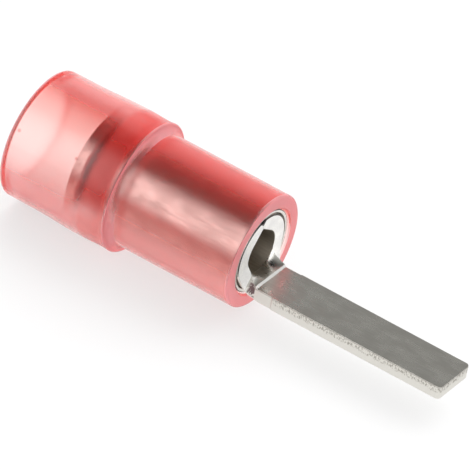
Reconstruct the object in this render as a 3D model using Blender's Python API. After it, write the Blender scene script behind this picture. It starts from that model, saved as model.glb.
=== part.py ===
"""An insulated flat-pin crimp terminal that lies on its side, blade towards +X.

Three pieces share one axis: a terminal rolled and cut from one strip of sheet, a thin
support sleeve pressed over its barrel, and a moulded nylon sleeve over both. Stations
along the axis are counted from the nylon's front face, positive towards the blade.
"""

import math

import bmesh
import bpy

MM = 0.001

# Terminal: the strip, its rolled barrel, its neck and its blade
SHEET = 0.75 * MM
BLADE_SHEET = 0.65 * MM
BORE_RADIUS = 0.98 * MM
BARREL_LENGTH = 5.0 * MM
MOUTH_RECESS = 0.08 * MM
SEAM_TURN = 10.0
SEAM_GAP = 0.04 * MM
SEAM_PEAK = 0.32 * MM
SEAM_NOTCH = 0.2 * MM
SHEARED_EDGE = 0.04 * MM
BLADE_WIDTH = 2.3 * MM
BLADE_LENGTH = 8.51 * MM
TIP_CORNER = 0.2 * MM
NECK_LENGTH = 1.55 * MM
NECK_INSET = 0.04 * MM
STEP_LENGTH = 0.15 * MM
FILLET_LENGTH = 0.68 * MM
FILLET_WIDTH = 0.8 * MM
TROUGH_BEND = 0.85
UNROLL_LENGTH = 0.9 * MM
LIP_STATION = 0.64 * MM
LIP_RISE = 0.06 * MM
LIP_LENGTH = 0.02 * MM
COIN_DEPTH = 0.04 * MM

# Support sleeve
BARREL_FIT = 0.05 * MM
SUPPORT_WALL = 0.16 * MM
SUPPORT_RECESS = 0.1 * MM
SUPPORT_EDGE = 0.04 * MM
BELL_STATION = 7.8 * MM
BELL_LENGTH = 0.62 * MM
BELL_BEND = 0.18

# Nylon sleeve
SUPPORT_FIT = 0.04 * MM
FRONT_WALL = 0.645 * MM
SHOULDER_STATION = 6.12 * MM
SHOULDER_RISE = 0.38 * MM
COVE_LENGTH = 0.31 * MM
REAR_LENGTH = 5.39 * MM
REAR_WALL = 0.8 * MM
REAR_TAPER = 0.03 * MM
BULGE_RISE = 0.065 * MM
BULGE_REACH = 2.4 * MM
BEAD_RISE = 0.04 * MM
BEAD_REACH = 0.4 * MM
RIM_ROUND = 0.12 * MM
SHOULDER_ROUND = 0.07 * MM

# Facets: sides of every turned piece, and steps along each round, slope and strip
SIDES = 64
ROUND_STEPS = 3
TAPER_STEPS = 16
BELL_STEPS = 6
LIMB_STEPS = 16
NECK_STEPS = 18
NECK_ROWS = 5
FILLET_ROWS = 7
EDGE_STEPS = 2
SHARP_ANGLE = 35.0

# Sizes that follow from the ones above
MOUTH = -MOUTH_RECESS
NECK_HALF = BLADE_WIDTH / 2 - NECK_INSET
NECK_ANGLE = (NECK_HALF + FILLET_WIDTH) / (BORE_RADIUS + SHEET / 2)
BARREL_RADIUS = BORE_RADIUS + SHEET
SUPPORT_BORE = BARREL_RADIUS + BARREL_FIT
SUPPORT_RADIUS = SUPPORT_BORE + SUPPORT_WALL
NYLON_BORE = SUPPORT_RADIUS + SUPPORT_FIT
FRONT_RADIUS = NYLON_BORE + FRONT_WALL
SHOULDER_RADIUS = FRONT_RADIUS + SHOULDER_RISE
ENTRY_RADIUS = SHOULDER_RADIUS - BEAD_RISE - REAR_TAPER - REAR_WALL
BELL_START = -BELL_STATION
BELL_END = BELL_START - BELL_LENGTH
BELL_RISE = ENTRY_RADIUS - NYLON_BORE
SHOULDER = -SHOULDER_STATION
REAR_FACE = SHOULDER - REAR_LENGTH
BLADE_TOP = -BORE_RADIUS - COIN_DEPTH
BLADE_TIP = MOUTH + NECK_LENGTH + BLADE_LENGTH


def clear_scene():
    """Removes every object that the scene starts with."""
    for obj in list(bpy.data.objects):
        bpy.data.objects.remove(obj)


def make_material(name, colour, roughness, metallic):
    """A plain Principled BSDF material."""
    material = bpy.data.materials.new(name)
    material.use_nodes = True
    shader = material.node_tree.nodes["Principled BSDF"]
    shader.inputs["Base Color"].default_value = (*colour, 1.0)
    shader.inputs["Roughness"].default_value = roughness
    shader.inputs["Metallic"].default_value = metallic
    return material


def finish(name, bm, material, parent):
    """Turns a closed bmesh into an object on the terminal's axis, smooth but for its edges."""
    bmesh.ops.recalc_face_normals(bm, faces=bm.faces)
    mesh = bpy.data.meshes.new(name)
    bm.to_mesh(mesh)
    bm.free()
    mesh.materials.append(material)
    mesh.shade_smooth()
    mesh.set_sharp_from_angle(angle=math.radians(SHARP_ANGLE))
    obj = bpy.data.objects.new(name, mesh)
    bpy.context.scene.collection.objects.link(obj)
    obj.parent = parent
    return obj


def arc(centre, radius, start, end, steps):
    """Points of an arc in the (station, radius) plane, angles in degrees."""
    points = []
    for step in range(steps + 1):
        angle = math.radians(start + (end - start) * step / steps)
        points.append((centre[0] + radius * math.cos(angle), centre[1] + radius * math.sin(angle)))
    return points


def spaced(first, last, steps):
    """Evenly spaced values, both ends included."""
    return [first + (last - first) * step / steps for step in range(steps + 1)]


def eased(share):
    """A smooth run from 0 to 1 while share goes from 0 to 1."""
    share = min(max(share, 0.0), 1.0)
    return share * share * (3 - 2 * share)


def hump(distance, reach):
    """A smooth rise: 1 at its middle, 0 from reach outwards."""
    if abs(distance) >= reach:
        return 0.0
    return math.cos(math.pi / 2 * distance / reach) ** 2


def turned(name, profile, material, parent):
    """A closed profile of (station, radius) points, turned about the terminal's axis."""
    bm = bmesh.new()
    ring = [bm.verts.new((station, 0.0, radius)) for station, radius in profile]
    edges = [bm.edges.new((ring[i - 1], ring[i])) for i in range(len(ring))]
    bmesh.ops.spin(bm, geom=ring + edges, cent=(0, 0, 0), axis=(1, 0, 0),
                   angle=math.tau, steps=SIDES, use_merge=True)
    return finish(name, bm, material, parent)


def rear_radius(station):
    """Outer radius of the nylon's wide part: a slight taper, a bulge and an edge bead."""
    along = (SHOULDER - station) / REAR_LENGTH
    radius = SHOULDER_RADIUS - BEAD_RISE - REAR_TAPER * along
    radius += BULGE_RISE * hump(station - BELL_START, BULGE_REACH)
    radius += BEAD_RISE * hump(station - SHOULDER, BEAD_REACH)
    return radius


def cove():
    """The hollow curve from the narrow part up to the shoulder, as half of an ellipse's end."""
    foot = SHOULDER + COVE_LENGTH
    points = []
    for step in range(2 * ROUND_STEPS + 1):
        angle = math.pi / 2 * step / (2 * ROUND_STEPS)
        rise = (SHOULDER_RISE - SHOULDER_ROUND) * (1 - math.cos(angle))
        points.append((foot - COVE_LENGTH * math.sin(angle), FRONT_RADIUS + rise))
    return points


def sleeve_outside():
    """The nylon's outer line, from its front face back to its rear face."""
    line = arc((-RIM_ROUND, FRONT_RADIUS - RIM_ROUND), RIM_ROUND, 0, 90, ROUND_STEPS)
    line += cove()
    line += arc((SHOULDER - SHOULDER_ROUND, rear_radius(SHOULDER) - SHOULDER_ROUND),
                SHOULDER_ROUND, 0, 90, ROUND_STEPS)
    first = SHOULDER - 2 * SHOULDER_ROUND
    last = REAR_FACE + RIM_ROUND
    for step in range(TAPER_STEPS):
        station = first + (last - first) * (step + 1) / TAPER_STEPS
        line.append((station, rear_radius(station)))
    centre = (last, rear_radius(last) - RIM_ROUND)
    line += arc(centre, RIM_ROUND, 90, 180, ROUND_STEPS)[1:]
    return line


def bell(radius):
    """The bell mouth's line from its wide end forward: a straight cone, then a soft bend."""
    full = math.hypot(1.0, BELL_BEND) - BELL_BEND
    line = []
    for along in spaced(1.0, 0.0, BELL_STEPS):
        opened = math.hypot(along, BELL_BEND) - BELL_BEND
        line.append((BELL_START - BELL_LENGTH * along, radius + BELL_RISE * opened / full))
    return line


def sleeve_inside():
    """The nylon's bores, from its rear face forward: wire entry, seat of the bell, long bore."""
    line = arc((REAR_FACE + RIM_ROUND, ENTRY_RADIUS + RIM_ROUND), RIM_ROUND, 180, 270, ROUND_STEPS)
    line += bell(NYLON_BORE)
    line.append((-RIM_ROUND / 2, NYLON_BORE))
    line.append((0.0, NYLON_BORE + RIM_ROUND / 2))
    return line


def insulating_sleeve(material, parent):
    """The moulded nylon sleeve: stepped outside, its bore widened for the bell and the wire."""
    return turned("insulating_sleeve", sleeve_outside() + sleeve_inside(), material, parent)


def support_sleeve(material, parent):
    """The thin metal tube that backs the nylon, with a bell mouth that guides the wire."""
    edge = SUPPORT_EDGE
    front = -SUPPORT_RECESS
    outer = bell(SUPPORT_RADIUS)
    inner = bell(SUPPORT_BORE)
    rim_outer = outer[0][1]
    rim_inner = inner[0][1]
    profile = [(front, SUPPORT_RADIUS - edge), (front - edge, SUPPORT_RADIUS)]
    profile += outer[:0:-1]
    profile += [(BELL_END + edge, rim_outer), (BELL_END, rim_outer - edge)]
    profile += [(BELL_END, rim_inner + edge), (BELL_END + edge, rim_inner)]
    profile += inner[1:]
    profile += [(front - edge, SUPPORT_BORE), (front, SUPPORT_BORE + edge)]
    return turned("support_sleeve", profile, material, parent)


def peaked_bore(from_seam):
    """The bore's radius by the angle from the seam: it runs straight up to a peak under it."""
    opening = math.acos(BORE_RADIUS / (BORE_RADIUS + SEAM_PEAK))
    return BORE_RADIUS / math.cos(max(opening - from_seam, 0.0))


def notched_barrel(from_seam):
    """The barrel's outer radius by the angle from the seam: round, with a small V along it."""
    return BARREL_RADIUS - max(SEAM_NOTCH - BARREL_RADIUS * from_seam, 0.0)


def barrel_line(radius, near_seam):
    """(y, z) round the rolled barrel, from one edge of the seam through the bottom to the other."""
    turn = math.radians(SEAM_TURN)
    marks = [(angle, math.pi) for angle in spaced(-NECK_ANGLE, NECK_ANGLE, NECK_STEPS)[1:-1]]
    for side in (-1, 1):
        seam = math.pi + side * turn
        span = seam - SEAM_GAP / 2 / radius - NECK_ANGLE
        limb = [NECK_ANGLE + span * (1 - left**1.5) for left in spaced(1.0, 0.0, LIMB_STEPS - 1)]
        limb = [(side * angle, seam - angle) for angle in limb]
        marks = limb[::-1] + marks if side < 0 else marks + limb
    points = []
    for angle, from_seam in marks:
        reach = near_seam(from_seam)
        points.append((reach * math.sin(angle), -reach * math.cos(angle)))
    return points


def half_width(reach):
    """Half the flat strip's width at a distance from the mouth: fillet, neck, blade, tip."""
    if reach < NECK_LENGTH:
        left = max(1 - reach / FILLET_LENGTH, 0.0)
        fillet = FILLET_WIDTH * (1 - math.sqrt(1 - left**2))
        widened = eased((reach - NECK_LENGTH + STEP_LENGTH) / STEP_LENGTH)
        return NECK_HALF + fillet + NECK_INSET * widened
    into_corner = reach - (NECK_LENGTH + BLADE_LENGTH - TIP_CORNER)
    if into_corner <= 0:
        return BLADE_WIDTH / 2
    return BLADE_WIDTH / 2 - TIP_CORNER + math.sqrt(max(TIP_CORNER**2 - into_corner**2, 0.0))


def bowed_line(lowest, curvature, half):
    """(y, z) along an arc of this curvature, half its length to each side of its lowest point."""
    points = []
    for along in spaced(-half, half, NECK_STEPS):
        turned_by = curvature * along
        if turned_by == 0:
            points.append((along, lowest))
        else:
            rise = (1 - math.cos(turned_by)) / curvature
            points.append((math.sin(turned_by) / curvature, lowest + rise))
    return points


def neck_lines(reach):
    """The upper and lower line of the strip past the mouth, cut square to the sheet.

    The upper side is a trough that opens out to the lip, then the coined flat. The
    underside opens out more slowly.
    """
    half = half_width(reach)
    opened = min(reach / LIP_STATION, 1.0)
    bend = 1 - opened**TROUGH_BEND
    stretch = bend * SHEET / 2 / (BORE_RADIUS + bend * SHEET / 2)
    floor = BLADE_TOP if reach > LIP_STATION else -BORE_RADIUS + LIP_RISE * eased(opened)
    unrolled = eased(reach / UNROLL_LENGTH)
    lowest = -BARREL_RADIUS * (1 - unrolled) + (BLADE_TOP - BLADE_SHEET) * unrolled
    upper = bowed_line(floor, bend / BORE_RADIUS, half * (1 - stretch))
    lower = bowed_line(lowest, (1 - unrolled) / BARREL_RADIUS, half * (1 + stretch))
    return upper, lower


def strip_stations():
    """Distances from the barrel's mouth at which the strip's section is given."""
    neck_end = NECK_LENGTH - STEP_LENGTH
    corner_start = NECK_LENGTH + BLADE_LENGTH - TIP_CORNER
    stations = []
    for step in range(1, FILLET_ROWS):
        angle = math.pi / 2 * step / FILLET_ROWS
        stations.append(LIP_STATION * (1 - math.cos(angle)))
    stations.append(LIP_STATION)
    stations += spaced(LIP_STATION + LIP_LENGTH, neck_end, NECK_ROWS)
    stations += spaced(neck_end, NECK_LENGTH, ROUND_STEPS)[1:]
    for step in range(ROUND_STEPS + 1):
        angle = math.pi / 2 * step / ROUND_STEPS
        stations.append(corner_start + TIP_CORNER * math.sin(angle))
    return stations


def strip_sections():
    """For each station its place on the axis and the points of its upper and lower side."""
    upper = barrel_line(BORE_RADIUS, peaked_bore)
    lower = barrel_line(BARREL_RADIUS, notched_barrel)
    sections = [(MOUTH - BARREL_LENGTH, 0, upper, lower), (MOUTH, 0, upper, lower)]
    for reach in strip_stations():
        sections.append((MOUTH + reach, LIMB_STEPS, *neck_lines(reach)))
    return sections


def blade_terminal(material, parent):
    """The folded strip: its sections joined side by side, then its sheared edges eased."""
    bm = bmesh.new()
    grid = {}
    for row, (station, first, upper, lower) in enumerate(strip_sections()):
        for column, (top, bottom) in enumerate(zip(upper, lower), first):
            grid[row, column] = [bm.verts.new((station, *top)), bm.verts.new((station, *bottom))]

    def cell(row, column):
        corners = [(row, column), (row + 1, column), (row + 1, column + 1), (row, column + 1)]
        return corners if all(corner in grid for corner in corners) else None

    sides = set()
    rims = set()
    for row, column in list(grid):
        corners = cell(row, column)
        if not corners:
            continue
        for side in (0, 1):
            sides.add(bm.faces.new([grid[corner][side] for corner in corners]))
        across = (cell(row, column - 1), cell(row + 1, column),
                  cell(row, column + 1), cell(row - 1, column))
        for neighbour, start, end in zip(across, corners, corners[1:] + corners[:1]):
            if neighbour:
                continue
            rim = bm.faces.new([*grid[start], *reversed(grid[end])])
            if row > 0 or start[0] == end[0]:
                rims.add(rim)
    sheared = [edge for edge in bm.edges
               if len(set(edge.link_faces) & sides) == 1 and len(set(edge.link_faces) & rims) == 1]
    bmesh.ops.recalc_face_normals(bm, faces=bm.faces)
    bmesh.ops.bevel(bm, geom=sheared, offset=SHEARED_EDGE, offset_type="OFFSET",
                    segments=EDGE_STEPS, profile=0.5, affect="EDGES", clamp_overlap=True)
    return finish("blade_terminal", bm, material, parent)


def build():
    """Builds the three pieces on one axis and sets them down on the origin's plane."""
    clear_scene()
    nylon = make_material("red_nylon", (0.78, 0.16, 0.17), 0.3, 0.0)
    tin = make_material("tinned_copper", (0.78, 0.77, 0.74), 0.3, 1.0)
    axis = bpy.data.objects.new("terminal_axis", None)
    bpy.context.scene.collection.objects.link(axis)
    lowest = max(radius for _, radius in sleeve_outside())
    axis.location = (-(REAR_FACE + BLADE_TIP) / 2, 0.0, lowest)
    insulating_sleeve(nylon, axis)
    support_sleeve(tin, axis)
    blade_terminal(tin, axis)


build()
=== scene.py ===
"""An insulated male spade terminal, dressed in its finishes and lit on a white table.

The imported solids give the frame: +X runs towards the blade's tip, +Z is up and the terminal
lies on the table. Three pieces stand for the three solids at a finer grain: the translucent
red nylon sleeve, the thin tinned tube under it and the rolled strip with its flat blade.
"""

from __future__ import annotations

import logging
import math
from collections.abc import Iterable, Sequence
from dataclasses import dataclass
from enum import Enum, IntEnum

import bmesh
import bpy
from mathutils import Matrix, Vector

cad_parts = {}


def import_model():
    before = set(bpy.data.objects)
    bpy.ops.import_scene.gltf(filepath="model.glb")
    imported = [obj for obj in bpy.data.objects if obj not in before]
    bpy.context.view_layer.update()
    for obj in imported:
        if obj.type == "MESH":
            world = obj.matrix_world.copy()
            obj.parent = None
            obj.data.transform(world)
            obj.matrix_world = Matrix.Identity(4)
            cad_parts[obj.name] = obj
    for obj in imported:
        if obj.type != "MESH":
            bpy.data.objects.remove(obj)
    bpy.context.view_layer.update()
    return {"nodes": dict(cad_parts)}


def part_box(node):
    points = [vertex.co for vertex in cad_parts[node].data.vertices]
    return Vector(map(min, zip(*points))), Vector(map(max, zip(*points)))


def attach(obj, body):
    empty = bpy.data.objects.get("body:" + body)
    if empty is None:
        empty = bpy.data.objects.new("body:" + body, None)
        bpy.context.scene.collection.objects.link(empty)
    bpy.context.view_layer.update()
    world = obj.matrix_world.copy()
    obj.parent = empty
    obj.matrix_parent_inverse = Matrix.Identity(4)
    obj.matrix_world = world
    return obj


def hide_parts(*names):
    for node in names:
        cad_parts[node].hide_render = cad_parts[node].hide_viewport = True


LOG = logging.getLogger("spade_terminal")
MM = 0.001
BODY = "root"
PICTURE_SIDE = 470
SHARP_ANGLE = 38.0
CLEAR_BOUNCES = 16
GLOSSY_BOUNCES = 6
WHITE = (1.0, 1.0, 1.0)
BLACK = (0.0, 0.0, 0.0)

Point = tuple[float, float]
Span = tuple[float, float]
Colour = tuple[float, float, float]
Triple = tuple[float, float, float]


class Slot(Enum):
    """The record's material slots."""

    NYLON = "red_nylon"
    SUPPORT = "tinned_sleeve"
    STRIP = "tinned_copper"


class Ray(Enum):
    """The kinds of ray that a surface may answer in its own way."""

    CAMERA = "Is Camera Ray"
    DIFFUSE = "Is Diffuse Ray"
    GLOSSY = "Is Glossy Ray"
    TRANSMISSION = "Is Transmission Ray"


class TubeFace(IntEnum):
    """The finishes of the tube, in the order of its materials."""

    END = 0
    EDGE_PAINTED_SHADE = 1
    WALL = 2


class NylonFace(IntEnum):
    """The finishes of the nylon, in the order of its materials."""

    SKIN = 0
    BORE = 1
    PALE_PAINTED_LIGHT = 2


class StripFace(IntEnum):
    """The finishes of the strip, in the order of its materials."""

    ROLLED = 0
    CUT = 1
    MOUTH_PAINTED_LIGHT = 2
    EDGE_PAINTED_SHADE = 3
    BORE = 4


# Small sums that several pieces share


def spaced(first: float, last: float, steps: int) -> list[float]:
    """Gives evenly spaced values, both ends included."""
    return [first + (last - first) * step / steps for step in range(steps + 1)]


def eased(share: float) -> float:
    """Gives a smooth run from 0 to 1 while share goes from 0 to 1."""
    share = min(max(share, 0.0), 1.0)
    return share * share * (3 - 2 * share)


def hump(distance: float, reach: float) -> float:
    """Gives a smooth rise that is 1 at its middle and 0 from its reach outwards.

    Args:
        distance: how far the place is from the middle.
        reach: where the rise ends.

    Returns:
        The rise, from 0 to 1.
    """
    if abs(distance) >= reach:
        return 0.0
    return math.cos(math.pi / 2 * distance / reach) ** 2


def arc(centre: Point, radius: float, start: float, end: float, steps: int) -> list[Point]:
    """Gives the points of an arc in the plane of station and radius.

    Args:
        centre: the arc's centre.
        radius: its radius.
        start: its first angle, in degrees.
        end: its last angle, in degrees.
        steps: how many steps it has.

    Returns:
        The points, both ends included.
    """
    return [
        (centre[0] + radius * math.cos(math.radians(angle)),
         centre[1] + radius * math.sin(math.radians(angle)))
        for angle in spaced(start, end, steps)
    ]


# Shader sums


class Link:
    """One socket of a node tree that takes part in Python's own arithmetic."""

    def __init__(self, recipe: Recipe, socket: bpy.types.NodeSocket | None) -> None:
        """Keeps an output socket and the recipe that adds the nodes."""
        self.recipe = recipe
        self.socket = socket

    def _sum(self, operation: str, first: Value, second: Value) -> Link:
        """Adds one Math node and gives its result."""
        return self.recipe.node("ShaderNodeMath", {"operation": operation}, {0: first, 1: second})

    def __add__(self, other: Value) -> Link:
        """Adds a value."""
        return self._sum("ADD", self, other)

    __radd__ = __add__

    def __sub__(self, other: Value) -> Link:
        """Takes a value off."""
        return self._sum("SUBTRACT", self, other)

    def __rsub__(self, other: Value) -> Link:
        """Takes this value off another."""
        return self._sum("SUBTRACT", other, self)

    def __mul__(self, other: Value) -> Link:
        """Multiplies by a value."""
        return self._sum("MULTIPLY", self, other)

    __rmul__ = __mul__

    def __truediv__(self, other: Value) -> Link:
        """Divides by a value."""
        return self._sum("DIVIDE", self, other)

    def ramp(self, low: float, high: float) -> Link:
        """Gives a smooth step, 0 up to the low value and 1 from the high one."""
        return self.recipe.node(
            "ShaderNodeMapRange", {"interpolation_type": "SMOOTHSTEP"},
            {"Value": self, "From Min": low, "From Max": high},
        )

    def within(self, span: Span, rise: float, fall: float) -> Link:
        """Gives 1 inside a span and 0 outside it, over a soft rise and a soft fall."""
        first, last = span
        return self.ramp(first, first + rise) * (1 - self.ramp(last - fall, last))

    def part(self, axis: int) -> Link:
        """Gives one coordinate of a vector: 0, 1 or 2."""
        return self.recipe.node("ShaderNodeSeparateXYZ", {}, {"Vector": self}, output=axis)


Value = Link | float
Setting = object


class Recipe:
    """Builds the node tree of one finish or of the world."""

    def __init__(self, tree: bpy.types.NodeTree) -> None:
        """Keeps the tree that it fills, and empties it."""
        self.tree = tree
        tree.nodes.clear()

    def node(self, kind: str, settings: dict[str, Setting], sockets: dict[str | int, Setting],
             output: str | int = 0) -> Link:
        """Adds a node, sets it up and fills its sockets.

        Args:
            kind: the node's type.
            settings: its own settings, which are set first. "stops" are a ramp's
                places and colours.
            sockets: a value or a Link for each named or numbered input.
            output: the output that is wanted.

        Returns:
            The chosen output.
        """
        made = self.tree.nodes.new(kind)
        for name, setting in settings.items():
            if name == "stops":
                self._set_stops(made.color_ramp, setting)
            else:
                setattr(made, name, setting)
        for name, value in sockets.items():
            if isinstance(value, Link):
                self.tree.links.new(value.socket, made.inputs[name])
            else:
                made.inputs[name].default_value = value
        return Link(self, made.outputs[output]) if made.outputs else Link(self, None)

    @staticmethod
    def _set_stops(ramp: bpy.types.ColorRamp, stops: Sequence[tuple[float, Colour]]) -> None:
        """Sets a ramp's stops.

        Args:
            ramp: the ramp.
            stops: the place and the colour of each stop, in order.
        """
        while len(ramp.elements) < len(stops):
            ramp.elements.new(1.0)
        for element, (place, colour) in zip(ramp.elements, stops):
            element.position = place
            element.color = (*colour, 1.0)

    def place(self) -> Link:
        """Gives the place on the piece, in its own metres."""
        return self.node("ShaderNodeTexCoord", {}, {}, output="Object")

    def scaled(self, vector: Link, scale: Triple) -> Link:
        """Stretches a vector along its axes."""
        return self.node("ShaderNodeVectorMath", {"operation": "MULTIPLY"}, {0: vector, 1: scale})

    def towards(self, vector: Link, direction: Vector) -> Link:
        """Gives how far a vector points along a direction."""
        return self.node("ShaderNodeVectorMath", {"operation": "DOT_PRODUCT"},
                         {0: vector, 1: direction}, output=1)

    def mottle(self, place: Link, scale: Triple, detail: float) -> Link:
        """Gives plain noise about 0.5, with so many patches to a metre along each axis."""
        return self.node("ShaderNodeTexNoise", {},
                         {"Vector": self.scaled(place, scale), "Scale": 1.0, "Detail": detail})

    def blend(self, share: Value, first: Link | Colour, second: Link | Colour) -> Link:
        """Mixes two colours, by the share of the second."""
        sockets = {0: share, 6: self.opaque(first), 7: self.opaque(second)}
        return self.node("ShaderNodeMix", {"data_type": "RGBA"}, sockets, output=2)

    @staticmethod
    def opaque(colour: Link | Colour) -> Link | tuple[float, ...]:
        """Gives a colour with its alpha, or the link as it is."""
        return colour if isinstance(colour, Link) else (*colour, 1.0)

    def backdrop(self, colour: Link | Colour) -> Link:
        """Gives a background of one colour, or of a linked one."""
        return self.node("ShaderNodeBackground", {},
                         {"Color": self.opaque(colour), "Strength": 1.0})

    def relief(self, height: Link, distance: float, normal: Link | None = None) -> Link:
        """Turns a height into a bumped normal.

        Args:
            height: the height, from 0 to 1.
            distance: how far 1 stands proud, in metres.
            normal: an earlier bump that this one adds to.

        Returns:
            The normal.
        """
        sockets = {"Height": height, "Distance": distance, "Strength": 1.0}
        if normal is not None:
            sockets["Normal"] = normal
        return self.node("ShaderNodeBump", {}, sockets)

    def layered(self, share: Value, first: Link, second: Link) -> Link:
        """Mixes two shaders, by the share of the second."""
        return self.node("ShaderNodeMixShader", {}, {0: share, 1: first, 2: second})

    def ray(self, kind: Ray) -> Link:
        """Gives 1 for one kind of ray and 0 for the others."""
        return self.node("ShaderNodeLightPath", {}, {}, output=kind.value)

    def finish(self, surface: Link, volume: Link | None = None,
               kind: str = "ShaderNodeOutputMaterial") -> None:
        """Joins the shader to the tree's output.

        Args:
            surface: the surface's shader.
            volume: what fills a closed piece, if anything does.
            kind: the type of the output node.
        """
        sockets = {"Surface": surface}
        if volume is not None:
            sockets["Volume"] = volume
        self.node(kind, {}, sockets)


def new_material(name: str) -> tuple[bpy.types.Material, Recipe]:
    """Makes an empty material.

    Args:
        name: its name.

    Returns:
        The material and the recipe that fills it.
    """
    material = bpy.data.materials.new(name)
    material.use_nodes = True
    return material, Recipe(material.node_tree)


# Finishes


@dataclass(frozen=True)
class NylonFinish:
    """Translucent red nylon: clear enough to see the metal through, with a milky glow.

    The glow is stronger edge-on, over the metal and where the wall is thick. Low down over the metal
    it is paler, a painted light. Spans are places on the piece.
    """

    name: str
    tint: Colour = (1.0, 0.99, 0.98)
    tint_drop: float = 0.97
    flow_scale: Triple = (260.0, 900.0, 900.0)
    flow_edges: Span = (0.35, 0.7)
    ripple_scale: Triple = (500.0, 1400.0, 1400.0)
    ripple: float = 1.5e-6
    speck: Colour = (0.55, 0.30, 0.28)
    speck_scale: float = 420.0
    speck_edges: Span = (0.03, 0.06)
    roughness: float = 0.1
    flow_roughness: float = 0.03
    ior: float = 1.53
    absorbed: Colour = (0.995, 0.66, 0.62)
    density: float = 150.0
    glow: Colour = (0.95, 0.06, 0.05)
    glow_roughness: float = 0.35
    glow_share: float = 0.1
    # painted light: a paler milk low down over the metal, within a height span
    painted_low_light: Colour = (0.95, 0.34, 0.31)
    painted_low_light_span: Span = (-2.0, -1.0)
    rim_glow: float = 0.64
    rim_edges: Span = (0.03, 0.45)
    glancing_edges: Span = (0.58, 0.85)
    glancing_loss: float = 0.7
    backed_from: float = 0.0
    backed_blur: float = 0.9 * MM
    unbacked_share: float = 0.75
    thick_glow: float = 0.0
    thick_span: Span = (-1.0, -1.0)
    thick_blur: float = 0.3 * MM

    def material(self) -> bpy.types.Material:
        """Builds the nylon.

        Returns:
            The material.
        """
        material, recipe = new_material(self.name)
        place = recipe.place()
        flow = recipe.mottle(place, self.flow_scale, detail=3.0)
        normal = recipe.relief(recipe.mottle(place, self.ripple_scale, detail=1.0), self.ripple)
        specks = recipe.node("ShaderNodeTexVoronoi", {"feature": "F1"},
                             {"Vector": place, "Scale": self.speck_scale, "Randomness": 1.0})
        deeper = tuple(channel * self.tint_drop for channel in self.tint)
        tint = recipe.blend(flow.ramp(*self.flow_edges), self.tint, deeper)
        shader = recipe.node("ShaderNodeBsdfPrincipled", {}, {
            "Base Color": recipe.blend(specks.ramp(*self.speck_edges), self.speck, tint),
            "Roughness": self.roughness + self.flow_roughness * flow,
            "IOR": self.ior,
            "Transmission Weight": 1.0,
            "Normal": normal,
        })
        if self.glow_share > 0:
            milk = self.milk(recipe, place, normal)
            shader = recipe.layered(self.milk_share(recipe, place), shader, milk)
        volume = recipe.node("ShaderNodeVolumeAbsorption", {}, {
            "Color": (*self.absorbed, 1.0), "Density": self.density})
        recipe.finish(shader, volume)
        return material

    def over_metal(self, place: Link) -> Link:
        """Gives 1 where the tube backs the nylon and 0 behind it."""
        return place.part(0).ramp(self.backed_from - self.backed_blur,
                                  self.backed_from + self.backed_blur)

    def milk(self, recipe: Recipe, place: Link, normal: Link) -> Link:
        """Builds the nylon's milk, half lit from in front and half from behind.

        Args:
            recipe: the nylon's recipe.
            place: the place on the piece.
            normal: the rippled normal.

        Returns:
            The milk's shader.
        """
        # painted light: the milk turns paler low down over the metal
        low = self.over_metal(place) * (1 - place.part(2).ramp(*self.painted_low_light_span))
        lit = recipe.node("ShaderNodeBsdfPrincipled", {}, {
            "Base Color": recipe.blend(low, self.glow, self.painted_low_light),
            "Roughness": self.glow_roughness,
            "Normal": normal,
        })
        through = recipe.node("ShaderNodeBsdfTranslucent", {}, {"Color": (*self.glow, 1.0)})
        return recipe.layered(0.5, lit, through)

    def milk_share(self, recipe: Recipe, place: Link) -> Link:
        """Gives how much of the nylon looks milky.

        Args:
            recipe: the nylon's recipe.
            place: the place on the piece.

        Returns:
            The milk's share, from 0 to 1.
        """
        edge_on = recipe.node("ShaderNodeLayerWeight", {}, {"Blend": 0.5}, output="Facing")
        backed = self.unbacked_share + (1 - self.unbacked_share) * self.over_metal(place)
        rim = self.rim_glow * backed * edge_on.ramp(*self.rim_edges)
        rim = rim * (1 - self.glancing_loss * edge_on.ramp(*self.glancing_edges))
        thick = place.part(0).within(self.thick_span, self.thick_blur, self.thick_blur)
        return self.glow_share + rim + self.thick_glow * thick * (1 - rim)


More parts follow.
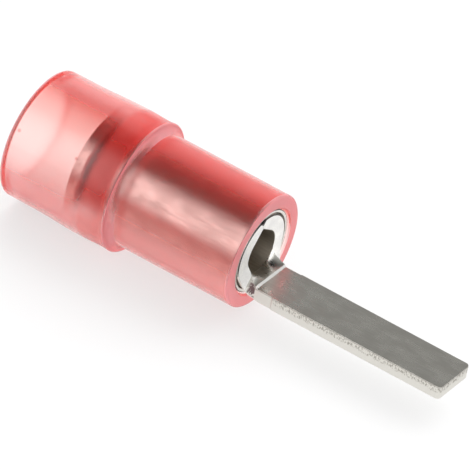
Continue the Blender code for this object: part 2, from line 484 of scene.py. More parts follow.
@dataclass(frozen=True)
class RolledTin:
    """Tin plate on a rolled sheet: a soft mirror with faint lengthwise marks.

    One stretch along the piece may carry a darker, redder painted shade, and one a painted shadow
    where the piece bends.
    """

    name: str
    colour: Colour = (0.88, 0.86, 0.81)
    dull: Colour = (0.74, 0.72, 0.67)
    roughness: float = 0.2
    metallic: float = 1.0
    line_scale: Triple = (900.0, 16000.0, 16000.0)
    cloud_scale: Triple = (1100.0, 1500.0, 1500.0)
    grain_scale: Triple = (14000.0, 14000.0, 14000.0)
    cloud_weight: float = 0.6
    worn_edges: Span = (0.38, 0.66)
    worn_roughness: float = 0.14
    grain_roughness: float = 0.05
    marks: float = 0.6e-6
    wander: float = 0.2 * MM
    # painted shade: a darker, redder stretch of the tin, with its colour, blur and roughness
    painted_shade_span: Span = (-1.0, -1.0)
    painted_shade_colour: Colour = (0.56, 0.15, 0.13)
    painted_shade_blur: Span = (0.1 * MM, 0.4 * MM)
    painted_shade_roughness: float = 0.3
    # painted shadow: a near-black band where the piece bends
    bend_shadow_span: Span = (-1.0, -1.0)
    bend_shadow_blur: Span = (0.1 * MM, 0.1 * MM)
    shadow: Colour = (0.03, 0.012, 0.01)

    def material(self) -> bpy.types.Material:
        """Builds the tinned face.

        Returns:
            The material.
        """
        material, recipe = new_material(self.name)
        place = recipe.place()
        lines = recipe.mottle(place, self.line_scale, detail=3.0)
        cloud = recipe.mottle(place, self.cloud_scale, detail=4.0)
        grain = recipe.mottle(place, self.grain_scale, detail=2.0)
        worn = self.cloud_weight * cloud + (1 - self.cloud_weight) * lines
        worn = worn.ramp(*self.worn_edges)
        along = place.part(0) + self.wander * cloud
        # painted shade over the chosen stretch
        painted_shade = along.within(self.painted_shade_span, *self.painted_shade_blur)
        # painted shadow over the bend's stretch
        bend_shadow = along.within(self.bend_shadow_span, *self.bend_shadow_blur)
        tin = recipe.blend(painted_shade, recipe.blend(worn, self.dull, self.colour), self.painted_shade_colour)
        shader = recipe.node("ShaderNodeBsdfPrincipled", {}, {
            "Base Color": recipe.blend(bend_shadow, tin, self.shadow),
            "Roughness": (self.roughness + self.worn_roughness * (1 - worn)
                          + self.grain_roughness * grain + self.painted_shade_roughness * painted_shade),
            "Metallic": self.metallic,
            "Normal": recipe.relief(grain, self.marks, recipe.relief(lines, self.marks)),
        })
        recipe.finish(shader)
        return material


@dataclass(frozen=True)
class ShearedTin:
    """The strip's cut sides: a torn band near the top edge, a smoother one below it and a dark red
    painted shade near the lip.
    """

    name: str
    top: float
    thickness: float
    torn_from: float
    # painted shade: a dark red stretch near the lip, with its span, colour and spread
    painted_red_shade_span: Span
    colour: Colour = (0.75, 0.73, 0.68)
    torn: Colour = (0.34, 0.32, 0.28)
    painted_red_shade: Colour = (0.17, 0.115, 0.115)
    streak_scale: Triple = (13000.0, 13000.0, 8000.0)
    tooth_scale: Triple = (5200.0, 5200.0, 900.0)
    band_edges: Span = (0.4, 0.52)
    band_wander: float = 0.4
    band_blur: float = 0.05 * MM
    torn_edges: Span = (0.46, 0.62)
    torn_share: float = 0.85
    burr_edges: Span = (0.06, 0.14)
    burr_share: float = 0.6
    painted_red_shade_wander: float = 0.16 * MM
    painted_red_shade_blur: Span = (0.08 * MM, 0.06 * MM)
    painted_red_shade_edges: Span = (0.36, 0.5)
    roughness: float = 0.42
    band_roughness: float = 0.15
    marks: float = 6e-6
    plain_marks: float = 0.25

    def material(self) -> bpy.types.Material:
        """Builds the cut side.

        Returns:
            The material.
        """
        material, recipe = new_material(self.name)
        place = recipe.place()
        streaks = recipe.mottle(place, self.streak_scale, detail=4.0)
        teeth = recipe.mottle(place, self.tooth_scale, detail=3.0) - 0.5
        down = (self.top - place.part(2)) / self.thickness
        band = 1 - (down + self.band_wander * teeth).ramp(*self.band_edges)
        band = band * place.part(0).ramp(self.torn_from - self.band_blur,
                                         self.torn_from + self.band_blur)
        burr = self.burr_share * (1 - down.ramp(*self.burr_edges))
        torn = burr + (self.torn_share - burr) * band * streaks.ramp(*self.torn_edges)
        # painted shade, reddened as a painted reflection of the nylon, near the lip
        along = place.part(0) + self.painted_red_shade_wander * teeth
        painted_red_shade = along.within(self.painted_red_shade_span, *self.painted_red_shade_blur)
        painted_red_shade = painted_red_shade * streaks.ramp(*self.painted_red_shade_edges)
        tin = recipe.blend(torn, self.colour, self.torn)
        shader = recipe.node("ShaderNodeBsdfPrincipled", {}, {
            "Base Color": recipe.blend(painted_red_shade, tin, self.painted_red_shade),
            "Roughness": self.roughness + self.band_roughness * band,
            "Metallic": 1.0,
            "Normal": recipe.relief(streaks * (self.plain_marks + band), self.marks),
        })
        recipe.finish(shader)
        return material


Finish = NylonFinish | RolledTin | ShearedTin


# Meshes


def shade(mesh: bpy.types.Mesh) -> None:
    """Shades a mesh smooth but for its sharp edges."""
    mesh.shade_smooth()
    mesh.set_sharp_from_angle(angle=math.radians(SHARP_ANGLE))


def turned_mesh(name: str, profile: Sequence[Point], sides: int) -> bpy.types.Mesh:
    """Turns a closed profile about the x axis.

    Args:
        name: the mesh's name.
        profile: its (station, radius) points, in order.
        sides: how many sides the turned form has.

    Returns:
        The mesh, one run of faces for each step of the profile.
    """
    mesh = bpy.data.meshes.new(name)
    points = []
    for side in range(sides):
        angle = math.tau * side / sides
        points += [(x, r * math.sin(angle), r * math.cos(angle)) for x, r in profile]
    count = len(profile)
    faces = []
    for side in range(sides):
        here = side * count
        there = (side + 1) % sides * count
        for step in range(count):
            after = (step + 1) % count
            faces.append((here + step, here + after, there + after, there + step))
    mesh.from_pydata(points, [], faces)
    shade(mesh)
    return mesh


def place_piece(name: str, mesh: bpy.types.Mesh, finishes: Iterable[Finish], origin: Vector,
                slot: Slot) -> bpy.types.Object:
    """Sets a mesh down as a piece of the part, in place of the solid of the same name.

    Args:
        name: the solid's name. The piece is named after it.
        mesh: the mesh, in metres about the terminal's axis.
        finishes: the finishes of its faces, in the order of their numbers.
        origin: where the axis meets the nylon's front face.
        slot: the record's slot for the piece's finish. Not used.

    Returns:
        The piece.
    """
    bm = bmesh.new()
    bm.from_mesh(mesh)
    bmesh.ops.recalc_face_normals(bm, faces=bm.faces)
    bm.to_mesh(mesh)
    bm.free()
    mesh.transform(Matrix.Translation(origin))
    for finish in finishes:
        mesh.materials.append(finish.material())
    piece = bpy.data.objects.new(f"{name}_dressed", mesh)
    bpy.context.scene.collection.objects.link(piece)
    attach(piece, BODY)
    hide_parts(name)
    LOG.info("%s: %d faces", piece.name, len(mesh.polygons))
    return piece


@dataclass
class SupportSleeve:
    """The thin tinned tube that backs the nylon, with a bell mouth that guides the wire."""

    bore_radius: float = 1.78 * MM
    wall: float = 0.16 * MM
    front: float = -0.10 * MM
    bell_station: float = 7.80 * MM
    bell_length: float = 0.62 * MM
    bell_rise: float = 0.155 * MM
    bell_bend: float = 0.18
    edge: float = 0.04 * MM
    # painted shade on the tube under the nylon's wide part, laid out from the bell's start
    painted_shade_span: Span = (-0.15 * MM, 1.5 * MM)
    # painted shadow at the start of the bell's bend
    bend_shadow_span: Span = (-0.02 * MM, 0.36 * MM)
    # painted shadow: these first steps of the front outer rounding take a dark finish for the gap by
    # the nylon
    shaded_steps: int = 2
    edge_steps: int = 3
    bell_steps: int = 12
    wall_steps: int = 24
    sides: int = 192

    @property
    def radius(self) -> float:
        """Gives the tube's outer radius."""
        return self.bore_radius + self.wall

    @property
    def bell(self) -> float:
        """Gives the station where the tube starts to open out."""
        return -self.bell_station

    @property
    def rear(self) -> float:
        """Gives the station of the tube's rear end."""
        return self.bell - self.bell_length

    def opening(self, station: float) -> float:
        """Gives how far the bell mouth has opened out: a soft bend, then a straight cone.

        Args:
            station: the place along the axis.

        Returns:
            The rise over the straight tube.
        """
        along = max((self.bell - station) / self.bell_length, 0.0)
        bend = self.bell_bend
        reach = math.hypot(along, bend) - bend
        return self.bell_rise * reach / (math.hypot(1.0, bend) - bend)

    def profile(self) -> list[Point]:
        """Gives the tube's wall.

        Returns:
            The closed profile, with rounded ends.
        """
        edge, steps = self.edge, self.edge_steps
        first, last = self.front - edge, self.rear + edge
        wide = self.radius + self.opening(last)
        narrow = self.bore_radius + self.opening(last)
        bell = spaced(self.bell, last, self.bell_steps)[1:-1]
        line = arc((first, self.radius - edge), edge, 0, 90, steps)
        line += [(x, self.radius) for x in spaced(first, self.bell, self.wall_steps)[1:]]
        line += [(x, self.radius + self.opening(x)) for x in bell]
        line += arc((last, wide - edge), edge, 90, 180, steps)
        line += arc((last, narrow + edge), edge, 180, 270, steps)
        line += [(x, self.bore_radius + self.opening(x)) for x in reversed(bell)]
        line.append((self.bell, self.bore_radius))
        line += arc((first, self.bore_radius + edge), edge, 270, 360, steps)
        return line

    def from_bell(self, span: Span, origin: Vector) -> Span:
        """Gives a span on the piece that is laid out from the bell's start."""
        start = origin.x + self.bell
        return start + span[0], start + span[1]

    def build(self, origin: Vector) -> bpy.types.Object:
        """Builds the tube.

        Args:
            origin: where the axis meets the nylon's front face.

        Returns:
            The piece.
        """
        profile = self.profile()
        mesh = turned_mesh("support_sleeve", profile, self.sides)
        outer = min(range(len(profile)), key=lambda step: profile[step][0])
        for index, face in enumerate(mesh.polygons):
            step = index % len(profile)
            wall = TubeFace.EDGE_PAINTED_SHADE if step <= self.shaded_steps else TubeFace.WALL
            face.material_index = wall if step < outer else TubeFace.END
        finishes = (
            RolledTin("tinned_tube_end", colour=(0.92, 0.91, 0.87), roughness=0.3),
            # painted shadow of the gap between the tube and the nylon
            RolledTin("tinned_tube_edge_painted_shadow", colour=(0.30, 0.24, 0.22), dull=(0.14, 0.10, 0.10),
                      roughness=0.4),
            # the tube's wall, with a painted shade under the nylon's wide part
            RolledTin("tinned_tube", colour=(0.86, 0.60, 0.56), dull=(0.66, 0.46, 0.42),
                      roughness=0.26, painted_shade_span=self.from_bell(self.painted_shade_span, origin),
                      # painted shadow at the bell's bend
                      bend_shadow_span=self.from_bell(self.bend_shadow_span, origin)),
        )
        return place_piece("support_sleeve", mesh, finishes, origin, Slot.SUPPORT)


@dataclass
class InsulatingSleeve:
    """The moulded nylon: a narrow front part, a shoulder and a wider part for the wire."""

    support: SupportSleeve
    fit: float = 0.04 * MM
    front_wall: float = 0.645 * MM
    shoulder_station: float = 6.12 * MM
    shoulder_rise: float = 0.38 * MM
    cove_length: float = 0.31 * MM
    rear_length: float = 5.39 * MM
    rear_wall: float = 0.80 * MM
    rear_taper: float = 0.03 * MM
    bulge_rise: float = 0.065 * MM
    bulge_reach: float = 2.4 * MM
    bead_rise: float = 0.04 * MM
    bead_reach: float = 0.4 * MM
    rim_round: float = 0.12 * MM
    shoulder_round: float = 0.07 * MM
    milky_from: float = 0.2 * MM
    # painted light: the heights over the axis through which the milk turns paler
    painted_low_light_reach: Span = (-0.2 * MM, 0.9 * MM)
    sides: int = 256
    round_steps: int = 8
    front_steps: int = 24
    rear_steps: int = 48
    bore_steps: int = 60

    @property
    def bore(self) -> float:
        """Gives the bore that holds the tube."""
        return self.support.radius + self.fit

    @property
    def front_radius(self) -> float:
        """Gives the outer radius of the narrow part."""
        return self.bore + self.front_wall

    @property
    def shoulder(self) -> float:
        """Gives the shoulder's station."""
        return -self.shoulder_station

    @property
    def rear_face(self) -> float:
        """Gives the rear face's station."""
        return self.shoulder - self.rear_length

    def rear_radius(self, station: float) -> float:
        """Gives the outer radius of the wide part: a slight taper, a bulge and a bead.

        Args:
            station: the place along the axis.

        Returns:
            The radius there.
        """
        along = (self.shoulder - station) / self.rear_length
        radius = self.front_radius + self.shoulder_rise - self.bead_rise - self.rear_taper * along
        radius += self.bulge_rise * hump(station - self.support.bell, self.bulge_reach)
        return radius + self.bead_rise * hump(station - self.shoulder, self.bead_reach)

    def cove(self) -> list[Point]:
        """Gives the hollow curve from the narrow part up to the shoulder.

        Returns:
            Its points, from the foot up.
        """
        foot = self.shoulder + self.cove_length
        rise = self.shoulder_rise - self.shoulder_round
        return [
            (foot - self.cove_length * math.sin(angle),
             self.front_radius + rise * (1 - math.cos(angle)))
            for angle in spaced(0.0, math.pi / 2, 2 * self.round_steps)
        ]

    def outside(self) -> list[Point]:
        """Gives the outer line, from the front face back to the rear face.

        Returns:
            Its points.
        """
        rim, corner = self.rim_round, self.shoulder_round
        line = arc((-rim, self.front_radius - rim), rim, 0, 90, self.round_steps)
        foot = self.shoulder + self.cove_length
        line += [(x, self.front_radius) for x in spaced(-rim, foot, self.front_steps)[1:-1]]
        line += self.cove()
        line += arc((self.shoulder - corner, self.rear_radius(self.shoulder) - corner),
                    corner, 0, 90, self.round_steps)
        last = self.rear_face + rim
        rear = spaced(self.shoulder - 2 * corner, last, self.rear_steps)
        line += [(x, self.rear_radius(x)) for x in rear]
        line += arc((last, self.rear_radius(last) - rim), rim, 90, 180, self.round_steps)[1:]
        return line

    def inside(self) -> list[Point]:
        """Gives the bores, from the rear face forward: entry, bell seat and tube bore.

        Returns:
            Their points.
        """
        rim = self.rim_round
        entry = self.rear_radius(self.rear_face) - self.rear_wall
        bell = self.support.bell
        line = arc((self.rear_face + rim, entry + rim), rim, 180, 270, self.round_steps)
        inner = spaced(self.rear_face + rim, bell, self.bore_steps)[1:]
        line += [(x, min(entry, self.bore + self.support.opening(x))) for x in inner]
        line += [(x, self.bore) for x in spaced(bell, -rim / 2, self.front_steps)[1:]]
        line.append((0.0, self.bore + rim / 2))
        return line

    def on_round(self, station: float) -> bool:
        """Tells whether a place is on the front rim, the shoulder's curves or the rear rim.

        Args:
            station: the place along the axis.

        Returns:
            Whether it is.
        """
        behind = self.shoulder - station
        return (station > -self.rim_round or -self.cove_length < behind < self.shoulder_round
                or station < self.rear_face + self.rim_round)

    def face_finish(self, step: int, profile: Sequence[Point], outer_steps: int) -> NylonFace:
        """Chooses the finish of one run of faces.

        Args:
            step: its place along the profile.
            profile: the closed profile.
            outer_steps: how many of its steps lie outside.

        Returns:
            The finish.
        """
        after = (step + 1) % len(profile)
        middle = (profile[step][0] + profile[after][0]) / 2
        # painted light: the front face and the rounded rims take a paler, pinker copy of the milk
        if after == 0 or (step < outer_steps and self.on_round(middle)):
            return NylonFace.PALE_PAINTED_LIGHT
        return NylonFace.SKIN if step < outer_steps else NylonFace.BORE

    def build(self, origin: Vector) -> bpy.types.Object:
        """Builds the sleeve, its outer skin milkier than its bores.

        Args:
            origin: where the axis meets the nylon's front face.

        Returns:
            The piece.
        """
        outside = self.outside()
        profile = outside + self.inside()
        mesh = turned_mesh("insulating_sleeve", profile, self.sides)
        for index, face in enumerate(mesh.polygons):
            step = index % len(profile)
            face.material_index = self.face_finish(step, profile, len(outside) - 1)
        bell = origin.x + self.support.bell
        # painted light: the skin's milk turns paler low down over the metal
        low, high = self.painted_low_light_reach
        finishes = (
            NylonFinish("nylon_skin", backed_from=bell, thick_glow=0.3,
                        thick_span=(bell + self.milky_from, origin.x + self.shoulder),
                        painted_low_light_span=(origin.z + low, origin.z + high)),
            NylonFinish("nylon_bore", glow_share=0.0, roughness=0.27),
            # painted light on the front face, the rims and the shoulder's curves
            NylonFinish("nylon_face_painted_light", glow=(1.0, 0.46, 0.48), rim_glow=1.0, unbacked_share=1.0),
        )
        return place_piece("insulating_sleeve", mesh, finishes, origin, Slot.NYLON)


@dataclass
class BladeTerminal:
    """One strip of tinned sheet: a rolled barrel, a short neck and the flat blade."""

    sheet: float = 0.75 * MM
    blade_sheet: float = 0.65 * MM
    bore_radius: float = 0.98 * MM
    barrel_length: float = 5.0 * MM
    mouth: float = -0.08 * MM
    seam_gap: float = 0.012 * MM
    seam_turn: float = 10.0
    seam_peak: float = 1.30 * MM
    seam_notch: float = 0.2 * MM
    seam_shade: float = 0.993
    limb_bend: float = 1.5
    rolled_edge: float = 0.07 * MM
    burred_edge: float = 0.008 * MM
    blade_width: float = 2.3 * MM
    blade_length: float = 8.51 * MM
    tip_corner: float = 0.2 * MM
    neck_length: float = 1.55 * MM
    neck_inset: float = 0.04 * MM
    step_length: float = 0.08 * MM
    fillet_length: float = 0.7 * MM
    fillet_width: float = 0.8 * MM
    unroll_length: float = 0.9 * MM
    lip_station: float = 0.64 * MM
    lip_rise: float = 0.06 * MM
    lip_length: float = 0.08 * MM
    coin_depth: float = 0.04 * MM
    # where the cut sides' painted red shade starts and ends
    painted_red_shade_start: float = 0.32 * MM
    painted_red_shade_past_lip: float = 0.03 * MM
    limb_steps: int = 48
    neck_steps: int = 60
    barrel_rows: int = 20
    fillet_rows: int = 24
    faced_rows: int = 15
    neck_rows: int = 14
    step_rows: int = 6
    blade_rows: int = 40
    tip_rows: int = 6
    edge_steps: int = 6

    @property
    def barrel_radius(self) -> float:
        """Gives the rolled barrel's outer radius."""
        return self.bore_radius + self.sheet

    @property
    def middle_radius(self) -> float:
        """Gives the radius of the middle of the rolled sheet."""
        return self.bore_radius + self.sheet / 2

    @property
    def neck_half(self) -> float:
        """Gives half the neck's width."""
        return self.blade_width / 2 - self.neck_inset

    @property
    def neck_angle(self) -> float:
        """Gives how far up the barrel the neck's fillets reach, from the bottom."""
        return (self.neck_half + self.fillet_width) / self.middle_radius

    @property
    def blade_top(self) -> float:
        """Gives the height of the blade's upper side over the axis."""
        return -self.bore_radius - self.coin_depth

    def seam_radius(self, radius: float, from_seam: float) -> float:
        """Gives the barrel's radius near its seam.

        The bore runs straight up into a peak under the seam, and the outside has a small
        V along it.

        Args:
            radius: the bore's or the barrel's own radius.
            from_seam: the angle from the seam's middle, in radians.

        Returns:
            The radius there.
        """
        if radius < self.barrel_radius:
            opening = math.acos(radius / self.seam_peak)
            return radius / math.cos(max(opening - from_seam, 0.0))
        return radius - max(self.seam_notch - radius * from_seam, 0.0)

    def barrel_line(self, radius: float) -> list[Point]:
        """Gives the rolled barrel's line, from one edge of the seam through the bottom.

        Args:
            radius: the bore's or the barrel's own radius.

        Returns:
            Its (y, z) points, up to the other edge of the seam.
        """
        neck = self.neck_angle
        turn = math.radians(self.seam_turn)
        half_gap = self.seam_gap / 2 / radius
        angles = []
        for side, seam in ((-1, math.pi - turn), (1, math.pi + turn)):
            bends = spaced(0.0, 1.0, self.limb_steps)
            limb = [neck + (seam - half_gap - neck) * (1 - (1 - b) ** self.limb_bend)
                    for b in bends]
            marks = [(side * angle, seam - angle) for angle in limb]
            angles.append(marks[::-1] if side < 0 else marks)
        across = self.places(self.neck_half + self.fillet_width)[1:-1]
        middle = [(along / self.middle_radius, math.pi) for along in across]
        points = []
        for angle, from_seam in angles[0] + middle + angles[1]:
            reach = self.seam_radius(radius, from_seam)
            points.append((reach * math.sin(angle), -reach * math.cos(angle)))
        return points

    def half_width(self, reach: float) -> float:
        """Gives half the flat strip's width at a distance from the barrel's mouth.

        Args:
            reach: the distance from the mouth.

        Returns:
            The half width there: fillet, neck, step, blade or tip corner.
        """
        if reach < self.neck_length:
            left = max(1 - reach / self.fillet_length, 0.0)
            fillet = self.fillet_width * (1 - math.sqrt(1 - left**2))
            widened = eased((reach - self.neck_length + self.step_length) / self.step_length)
            return self.neck_half + fillet + self.neck_inset * widened
        into_corner = reach - (self.neck_length + self.blade_length - self.tip_corner)
        if into_corner <= 0:
            return self.blade_width / 2
        drop = self.tip_corner - math.sqrt(max(self.tip_corner**2 - into_corner**2, 0.0))
        return self.blade_width / 2 - drop

    def edge_steps_in(self) -> list[float]:
        """Gives the distances from a cut side at which its rounded edges are laid out."""
        return [self.rolled_edge * (1 - math.cos(angle))
                for angle in spaced(0.0, math.pi / 2, self.edge_steps)]

    def places(self, half: float) -> list[float]:
        """Gives the places across the strip, closer together along its cut sides.

        Args:
            half: half the strip's width.

        Returns:
            The distances from its middle, from one cut side to the other.
        """
        inset = self.edge_steps_in()
        inner = half - self.rolled_edge
        return ([step - half for step in inset] + spaced(-inner, inner, self.neck_steps)[1:-1]
                + [half - step for step in reversed(inset)])

    def from_edge(self, reach: float, along: float) -> float:
        """Gives how far a place on the flat strip is from the nearest cut side.

        Args:
            reach: the distance past the mouth, negative on the barrel.
            along: the distance from the strip's middle.

        Returns:
            The distance to the mouth, the fillet, the side or the tip.
        """
        wide = abs(along)
        if reach < self.fillet_length:
            ahead = 1 - reach / self.fillet_length
            aside = max(1 - (wide - self.neck_half) / self.fillet_width, 0.0)
            away = math.hypot(ahead, aside)
            steepness = math.hypot(ahead / self.fillet_length, aside / self.fillet_width) / away
            return (away - 1) / steepness
        into_corner = reach - (self.neck_length + self.blade_length - self.tip_corner)
        if into_corner <= 0:
            return self.half_width(reach) - wide
        beside = max(wide - self.blade_width / 2 + self.tip_corner, 0.0)
        return self.tip_corner - math.hypot(into_corner, beside)

    def eased_pair(self, top: Point, bottom: Point, inset: float) -> tuple[Point, Point]:
        """Draws two facing points of the sheet together where an edge is rounded.

        Args:
            top: the (y, z) point on the bore's and the blade's upper side.
            bottom: the point on the outer and lower side.
            inset: their distance from the nearest cut side.

        Returns:
            The two points, on the burred and on the rolled edge.
        """
        drops = []
        for radius in (self.burred_edge, self.rolled_edge):
            left = min(max(radius - inset, 0.0), radius)
            drops.append(radius - math.sqrt(radius**2 - left**2))
        start, end = Vector(top), Vector(bottom)
        through = (end - start).normalized()
        return tuple(start + through * drops[0]), tuple(end - through * drops[1])

    @staticmethod
    def bowed_line(lowest: float, curvature: float, places: Iterable[float]) -> list[Point]:
        """Gives the points along an arc that is laid out from its lowest point.

        Args:
            lowest: the height of its lowest point.
            curvature: 1 over the arc's radius, or 0 for a flat.
            places: the distances along it from its lowest point.

        Returns:
            Its (y, z) points.
        """
        points = []
        for along in places:
            turned_by = curvature * along
            if turned_by == 0:
                points.append((along, lowest))
            else:
                rise = (1 - math.cos(turned_by)) / curvature
                points.append((math.sin(turned_by) / curvature, lowest + rise))
        return points

    def neck_lines(self, reach: float) -> tuple[list[Point], list[Point]]:
        """Gives the strip's two sides past the mouth, cut square to the sheet.

        The upper side is a trough that opens out to the lip, then the coined flat. The
        underside opens out more slowly.

        Args:
            reach: the distance from the mouth.

        Returns:
            The (y, z) points of the upper and of the lower side.
        """
        places = self.places(self.half_width(reach))
        opened = eased(reach / self.lip_station)
        bend = 1 - opened
        stretch = bend * self.sheet / 2 / (self.bore_radius + bend * self.sheet / 2)
        floor = self.blade_top
        if reach <= self.lip_station:
            floor = -self.bore_radius + self.lip_rise * opened
        unrolled = eased(reach / self.unroll_length)
        flat = self.blade_top - self.blade_sheet
        lowest = -self.barrel_radius * (1 - unrolled) + flat * unrolled
        upper = self.bowed_line(floor, bend / self.bore_radius,
                                [along * (1 - stretch) for along in places])
        lower = self.bowed_line(lowest, (1 - unrolled) / self.barrel_radius,
                                [along * (1 + stretch) for along in places])
        return upper, lower

    def stations(self) -> list[float]:
        """Gives the distances from the mouth at which the strip's section is laid out.

        Returns:
            The distances, without the mouth itself.
        """
        neck_end = self.neck_length - self.step_length
        corner_start = self.neck_length + self.blade_length - self.tip_corner
        found = [self.lip_station * (1 - math.cos(angle))
                 for angle in spaced(0.0, math.pi / 2, self.fillet_rows)[1:]]
        found += spaced(self.lip_station + self.lip_length, neck_end, self.neck_rows)
        found += spaced(neck_end, self.neck_length, self.step_rows)[1:]
        found += spaced(self.neck_length, corner_start, self.blade_rows)[1:-1]
        end = corner_start + self.tip_corner
        found += spaced(corner_start, end - self.rolled_edge, self.tip_rows)
        found += [end - step for step in reversed(self.edge_steps_in()[:-1])]
        return found

    def sections(self) -> list[tuple[float, int, list[tuple[Point, Point]]]]:
        """Gives the strip's sections along the axis.

        Returns:
            For each its station, its first column and its pairs of facing points.
        """
        upper = self.barrel_line(self.bore_radius)
        lower = self.barrel_line(self.barrel_radius)
        widest = self.neck_half + self.fillet_width
        limb = [widest] * self.limb_steps
        across = limb + self.places(widest) + limb
        reaches = spaced(-self.barrel_length, -self.rolled_edge, self.barrel_rows)
        reaches += [-step for step in reversed(self.edge_steps_in()[:-1])]
        rows = [(reach, 0, upper, lower, across) for reach in reaches]
        for reach in self.stations():
            places = self.places(self.half_width(reach))
            rows.append((reach, self.limb_steps, *self.neck_lines(reach), places))
        found = []
        for reach, first, tops, bottoms, places in rows:
            pairs = [self.eased_pair(top, bottom, self.from_edge(reach, along))
                     for top, bottom, along in zip(tops, bottoms, places)]
            found.append((self.mouth + reach, first, pairs))
        return found

    def mesh(self) -> bpy.types.Mesh:
        """Joins the sections into one closed strip, creased where it was cut.

        Returns:
            The mesh, each face marked with its finish.
        """
        bm = bmesh.new()
        grid = {}
        for row, (station, first, pairs) in enumerate(self.sections()):
            for column, (top, bottom) in enumerate(pairs, first):
                grid[row, column] = (bm.verts.new((station, *top)), bm.verts.new((station, *bottom)))

        def cell(row: int, column: int) -> list[tuple[int, int]] | None:
            """Gives the corners of one cell of the strip, or None outside it."""
            corners = [(row, column), (row + 1, column), (row + 1, column + 1), (row, column + 1)]
            return corners if all(corner in grid for corner in corners) else None

        rims = set()
        mouth_row = max(row for row, column in grid if column == 0)
        lip_row = mouth_row + self.fillet_rows
        for row, column in list(grid):
            corners = cell(row, column)
            if not corners:
                continue
            for side in (0, 1):
                face = bm.faces.new([grid[corner][side] for corner in corners])
                face.material_index = self.side_finish(face, side, row < mouth_row, row == lip_row)
            around = (cell(row, column - 1), cell(row + 1, column),
                      cell(row, column + 1), cell(row - 1, column))
            for neighbour, start, end in zip(around, corners, corners[1:] + corners[:1]):
                if neighbour:
                    continue
                rim = bm.faces.new([*grid[start], *reversed(grid[end])])
                # painted light: cut faces near the mouth take the whiter mouth finish
                near_mouth = max(start[0], end[0]) <= mouth_row + self.faced_rows
                rim.material_index = StripFace.MOUTH_PAINTED_LIGHT if near_mouth else StripFace.CUT
                rims.add(rim)
        bmesh.ops.recalc_face_normals(bm, faces=bm.faces)
        bm.edges.index_update()
        creased = [edge.index for edge in bm.edges if len(set(edge.link_faces) & rims) == 1]
        mesh = bpy.data.meshes.new("blade_terminal")
        bm.to_mesh(mesh)
        bm.free()
        shade(mesh)
        for index in creased:
            mesh.edges[index].use_edge_sharp = True
        return mesh

    def side_finish(self, face: bmesh.types.BMFace, side: int, rolled: bool,
                    lip: bool) -> StripFace:
        """Chooses the finish of a face of the strip's two sides.

        Args:
            face: the face.
            side: 0 on the bore's and the blade's upper side, 1 on the other.
            rolled: whether it lies on the barrel.
            lip: whether it is the lip behind the blade.

        Returns:
            The finish.
        """
        # painted light: the lip takes the whiter mouth finish
        if side == 0 and lip:
            return StripFace.MOUTH_PAINTED_LIGHT
        if side == 0:
            return StripFace.BORE if rolled else StripFace.ROLLED
        centre = face.calc_center_median()
        # painted shade: outer faces of the barrel that sink below its radius, at the rounded edges
        # and the seam, take a dark finish
        shaded = math.hypot(centre.y, centre.z) < self.seam_shade * self.barrel_radius
        return StripFace.EDGE_PAINTED_SHADE if rolled and shaded else StripFace.ROLLED

    def build(self, origin: Vector) -> bpy.types.Object:
        """Builds the strip.

        Args:
            origin: where the axis meets the nylon's front face.

        Returns:
            The piece.
        """
        mouth = origin.x + self.mouth
        # the span of the cut sides' painted red shade
        painted_red_shade = (mouth + self.painted_red_shade_start, mouth + self.lip_station + self.painted_red_shade_past_lip)
        finishes = (
            RolledTin("tinned_face"),
            ShearedTin("tinned_cut", top=origin.z + self.blade_top, thickness=self.blade_sheet,
                       torn_from=mouth + self.neck_length, painted_red_shade_span=painted_red_shade),
            # painted light: a whiter, more diffuse copy of the tin on the mouth faces, the lip and
            # the cut faces near the mouth
            RolledTin("tinned_mouth_painted_light", colour=(1.0, 0.99, 0.95), dull=(0.86, 0.85, 0.83),
                      roughness=0.45, metallic=0.55),
            # painted shade on the barrel's rounded edges and seam
            RolledTin("tinned_rolled_edge_painted_shade", colour=(0.16, 0.14, 0.13), dull=(0.08, 0.07, 0.07),
                      roughness=0.4),
            # painted shade: a darker, olive copy of the tin inside the bore
            RolledTin("tinned_bore_painted_shade", colour=(0.60, 0.55, 0.47), dull=(0.50, 0.45, 0.37),
                      roughness=0.4),
        )
        return place_piece("blade_terminal", self.mesh(), finishes, origin, Slot.STRIP)


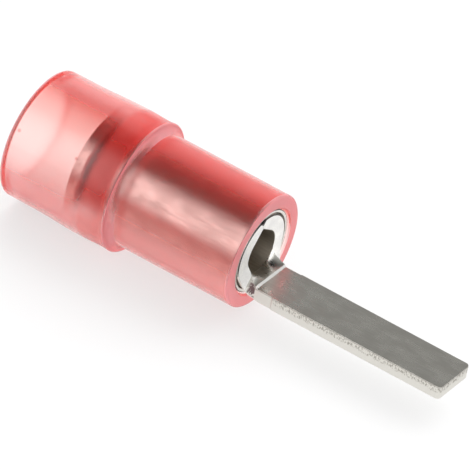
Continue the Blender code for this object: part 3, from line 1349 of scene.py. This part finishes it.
@dataclass
class Studio:
    """The table, the light and the surroundings that the terminal mirrors."""

    floor_side: float = 6.0
    floor_colour: Colour = (0.32, 0.32, 0.32)
    floor_light: float = 0.62
    floor_through: float = 1.1
    floor_bounce: float = 1.2
    front_shade: float = 0.45
    front_edges: Span = (4.6 * MM, 8.0 * MM)
    wall: tuple[tuple[float, Colour], ...] = (
        (0.0, (0.95, 0.95, 0.95)),
        (0.12, (0.80, 0.80, 0.80)),
        (0.35, (0.48, 0.48, 0.47)),
        (0.6, (0.31, 0.31, 0.30)),
        (0.8, (0.03, 0.03, 0.03)),
        (1.0, BLACK),
    )
    key_from: Triple = (-0.05, -0.845, 0.53)
    key_width: float = 0.45
    key_edges: Span = (0.7, 1.0)
    key_strength: float = 2.0
    fill: float = 0.7
    back_fill: float = 2.1
    back_from: Triple = (0.0, 0.75, 0.66)
    back_edges: Span = (0.5, 1.0)

    def floor(self) -> None:
        """Lays the white table, which keeps the terminal's shadow."""
        half = self.floor_side / 2
        mesh = bpy.data.meshes.new("table")
        mesh.from_pydata([(-half, -half, 0), (half, -half, 0), (half, half, 0), (-half, half, 0)],
                         [], [(0, 1, 2, 3)])
        table = bpy.data.objects.new("table", mesh)
        bpy.context.scene.collection.objects.link(table)
        material, recipe = new_material("table_white")
        lit = recipe.node("ShaderNodeBsdfDiffuse", {}, {"Color": (*self.floor_colour, 1.0)})
        forward = -1 * recipe.place().part(1)
        transmitted = recipe.ray(Ray.TRANSMISSION)
        reflected = recipe.ray(Ray.GLOSSY) * (1 - transmitted)
        # painted shade: seen in reflections and through the nylon, the table's front strip turns
        # darker
        shaded = self.front_shade * forward.ramp(*self.front_edges) * (reflected + transmitted)
        seen = self.floor_light * (recipe.ray(Ray.CAMERA) + reflected)
        bounced = self.floor_bounce * recipe.ray(Ray.DIFFUSE)
        shine = recipe.node("ShaderNodeEmission", {}, {
            "Color": recipe.blend(shaded, WHITE, BLACK),
            "Strength": seen + bounced + self.floor_through * transmitted})
        recipe.finish(recipe.node("ShaderNodeAddShader", {}, {0: lit, 1: shine}))
        mesh.materials.append(material)

    def world(self) -> None:
        """Surrounds the table: white at its edge, grey above, dark overhead, a soft key in front."""
        world = bpy.data.worlds.new("studio")
        bpy.context.scene.world = world
        world.use_nodes = True
        recipe = Recipe(world.node_tree)
        outwards = recipe.node("ShaderNodeTexCoord", {}, {}, output="Generated")
        wall = recipe.node("ShaderNodeValToRGB", {"stops": self.wall}, {"Fac": outwards.part(2)})
        squeezed = recipe.node("ShaderNodeVectorMath", {"operation": "NORMALIZE"},
                               {0: recipe.scaled(outwards, (self.key_width, 1.0, 1.0))})
        key = recipe.towards(squeezed, Vector(self.key_from).normalized()).ramp(*self.key_edges)
        back = recipe.towards(outwards, Vector(self.back_from)).ramp(*self.back_edges)
        around = recipe.backdrop(recipe.blend(key, wall, (self.key_strength,) * 3))
        fill = recipe.backdrop(recipe.blend(back, (self.fill,) * 3,
                                            (self.fill + self.back_fill,) * 3))
        shader = recipe.layered(recipe.ray(Ray.DIFFUSE), around, fill)
        shader = recipe.layered(recipe.ray(Ray.CAMERA), shader, recipe.backdrop(WHITE))
        recipe.finish(shader, kind="ShaderNodeOutputWorld")

    def build(self) -> None:
        """Sets the studio up round the terminal."""
        self.floor()
        self.world()


@dataclass
class Viewpoint:
    """The camera, set by the angles that the picture was taken at."""

    azimuth: float = 27.287
    elevation: float = 35.62
    roll: float = 9.283
    distance: float = 500.0 * MM
    aim: Point = (-1.1229 * MM, 0.6813 * MM)
    aim_setback: float = 0.06 * MM
    pixels_per_mm: float = 23.894
    sensor: float = 36.0
    clip: Span = (0.01, 20.0)

    def axes(self) -> tuple[Vector, Vector, Vector]:
        """Gives the camera's right, up and back directions.

        Returns:
            The three unit vectors.
        """
        azimuth, elevation = math.radians(self.azimuth), math.radians(self.elevation)
        back = Vector((math.sin(azimuth) * math.cos(elevation),
                       -math.cos(azimuth) * math.cos(elevation), math.sin(elevation)))
        level = Vector((math.cos(azimuth), math.sin(azimuth), 0.0))
        plumb = back.cross(level)
        share = math.sin(math.radians(self.roll)) / math.cos(elevation)
        right = level * math.sqrt(1 - share**2) + plumb * share
        return right, back.cross(right), back

    def build(self, origin: Vector) -> None:
        """Places the camera.

        Args:
            origin: where the axis meets the nylon's front face.
        """
        right, up, back = self.axes()
        lens = bpy.data.cameras.new("viewpoint")
        lens.sensor_width = self.sensor
        pixels = self.pixels_per_mm * self.distance / MM
        lens.lens = pixels * self.sensor / PICTURE_SIDE
        lens.clip_start, lens.clip_end = self.clip
        camera = bpy.data.objects.new("viewpoint", lens)
        turn = Matrix((right, up, back)).transposed()
        camera.rotation_mode = "QUATERNION"
        camera.rotation_quaternion = turn.to_quaternion()
        centre = origin - Vector((self.aim_setback, 0.0, 0.0))
        camera.location = centre + right * self.aim[0] + up * self.aim[1] + back * self.distance
        bpy.context.scene.collection.objects.link(camera)
        bpy.context.scene.camera = camera


def set_light_paths() -> None:
    """Lets light pass the nylon's walls and keeps the plain view of colours."""
    scene = bpy.context.scene
    scene.view_settings.view_transform = "Standard"
    scene.cycles.max_bounces = CLEAR_BOUNCES
    scene.cycles.transmission_bounces = CLEAR_BOUNCES
    scene.cycles.glossy_bounces = GLOSSY_BOUNCES
    scene.cycles.use_denoising = True


def main() -> None:
    """Builds the terminal, its studio and its viewpoint."""
    logging.basicConfig(level=logging.INFO, format="%(message)s")
    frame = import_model()
    low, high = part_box("insulating_sleeve")
    origin = Vector((high.x, 0.0, (low.z + high.z) / 2))
    LOG.info("nodes: %s", sorted(frame["nodes"]))
    support = SupportSleeve()
    BladeTerminal().build(origin)
    support.build(origin)
    InsulatingSleeve(support).build(origin)
    Studio().build()
    Viewpoint().build(origin)
    set_light_paths()


if __name__ == "__main__":
    main()
